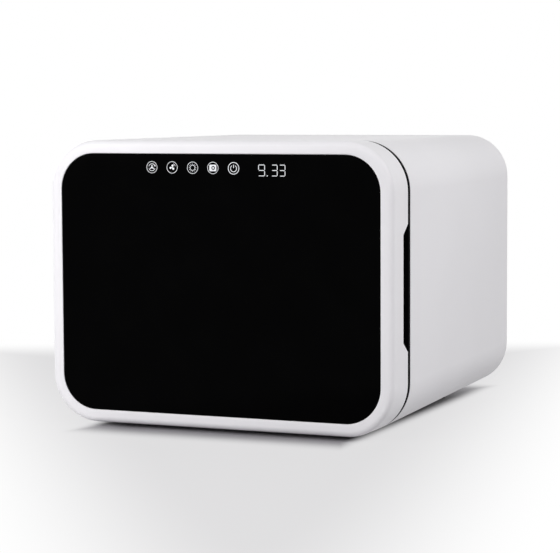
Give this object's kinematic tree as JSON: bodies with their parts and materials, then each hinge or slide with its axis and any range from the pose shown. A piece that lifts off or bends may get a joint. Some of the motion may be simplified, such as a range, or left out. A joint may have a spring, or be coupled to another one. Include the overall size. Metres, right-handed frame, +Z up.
{
  "type": "ultraviolet sterilizer box",
  "caption": "Rounded white countertop box with a glass-faced side-hung door over a steel chamber that holds racks, ultraviolet lamps and a fan heater.",
  "frame": {"origin": "on the floor, under the middle of the whole box with its door shut", "axes": "+Z up, the door faces -Y, +X to the right of a person who faces the door"},
  "size_m": [0.374, 0.372, 0.292],
  "materials": {
    "white_gloss": "glossy moulded, faint orange peel",
    "black_glass": "polished, black printed behind",
    "dark_plastic": "fine spark texture",
    "grey_plastic": "satin moulded",
    "ivory_plastic": "satin moulded",
    "black_rubber": "matte",
    "stainless": "brushed",
    "plated_steel": "bright zinc plate",
    "reflector": "bright rolled",
    "quartz": "clear with a slight haze",
    "aluminium": "mill finish",
    "ferrite": "sintered, dull",
    "circuit_board": "green solder mask",
    "filter_foam": "open cell foam"
  },
  "bodies": {
    "cabinet": {"outer_shell": "white_gloss", "front_frame": "dark_plastic", "chamber_liner": "stainless", "rear_cover": "white_gloss", "foot_front_left": "black_rubber", "foot_front_right": "black_rubber", "foot_rear_left": "black_rubber", "foot_rear_right": "black_rubber", "rear_screw_1": "plated_steel", "rear_screw_2": "plated_steel", "rear_screw_3": "plated_steel", "rear_screw_4": "plated_steel", "rack_rail_left": "stainless", "rack_rail_right": "stainless", "top_reflector": "reflector", "top_uv_tube": "quartz", "top_socket_left": "ivory_plastic", "top_socket_right": "ivory_plastic", "top_lamp_guard": "stainless", "rear_reflector": "reflector", "rear_uv_tube": "quartz", "rear_socket_left": "ivory_plastic", "rear_socket_right": "ivory_plastic", "rear_lamp_guard": "stainless", "air_duct": "grey_plastic", "heater_frame": "ivory_plastic", "heater_core": "aluminium", "thermal_cutout": "aluminium", "fan_housing": "dark_plastic", "fan_motor": "aluminium", "power_board": "circuit_board", "lamp_ballast": "grey_plastic", "power_inlet": "dark_plastic", "upper_strike_plate": "plated_steel", "lower_strike_plate": "plated_steel", "door_sensor": "dark_plastic", "upper_hinge_bracket": "plated_steel", "lower_hinge_bracket": "plated_steel", "upper_hinge_pin": "plated_steel", "lower_hinge_pin": "plated_steel"},
    "door": {"door_frame": "white_gloss", "door_glass": "black_glass", "door_liner": "grey_plastic", "door_gasket": "black_rubber", "finger_grip": "dark_plastic", "touch_board": "circuit_board", "display_module": "dark_plastic", "door_screw_1": "plated_steel", "door_screw_2": "plated_steel", "door_screw_3": "plated_steel", "door_screw_4": "plated_steel", "upper_magnet": "ferrite", "lower_magnet": "ferrite", "upper_hinge_bush": "ivory_plastic", "lower_hinge_bush": "ivory_plastic"},
    "fan_rotor": {"fan_rotor": "dark_plastic"},
    "filter_cover": {"filter_cover": "white_gloss", "filter_pad": "filter_foam"},
    "upper_rack": {"upper_rack": "stainless"},
    "lower_rack": {"lower_rack": "stainless"}
  },
  "joints": [
    {"name": "door_hinge", "type": "hinge", "parent": "cabinet", "child": "door", "pos_m": [-0.18, -0.158, 0.148], "axis": [0, 0, -1], "range_deg": [0, 105]},
    {"name": "fan_spin", "type": "hinge", "parent": "cabinet", "child": "fan_rotor", "pos_m": [-0.092, 0.163, 0.086], "axis": [0, 1, 0], "continuous": true},
    {"name": "filter_cover_pull", "type": "slide", "parent": "cabinet", "child": "filter_cover", "axis": [0, 1, 0], "range_m": [0, 0.025]},
    {"name": "upper_rack_slide", "type": "slide", "parent": "cabinet", "child": "upper_rack", "axis": [0, -1, 0], "range_m": [0, 0.024]},
    {"name": "lower_rack_slide", "type": "slide", "parent": "cabinet", "child": "lower_rack", "axis": [0, -1, 0], "range_m": [0, 0.024]}
  ]
}
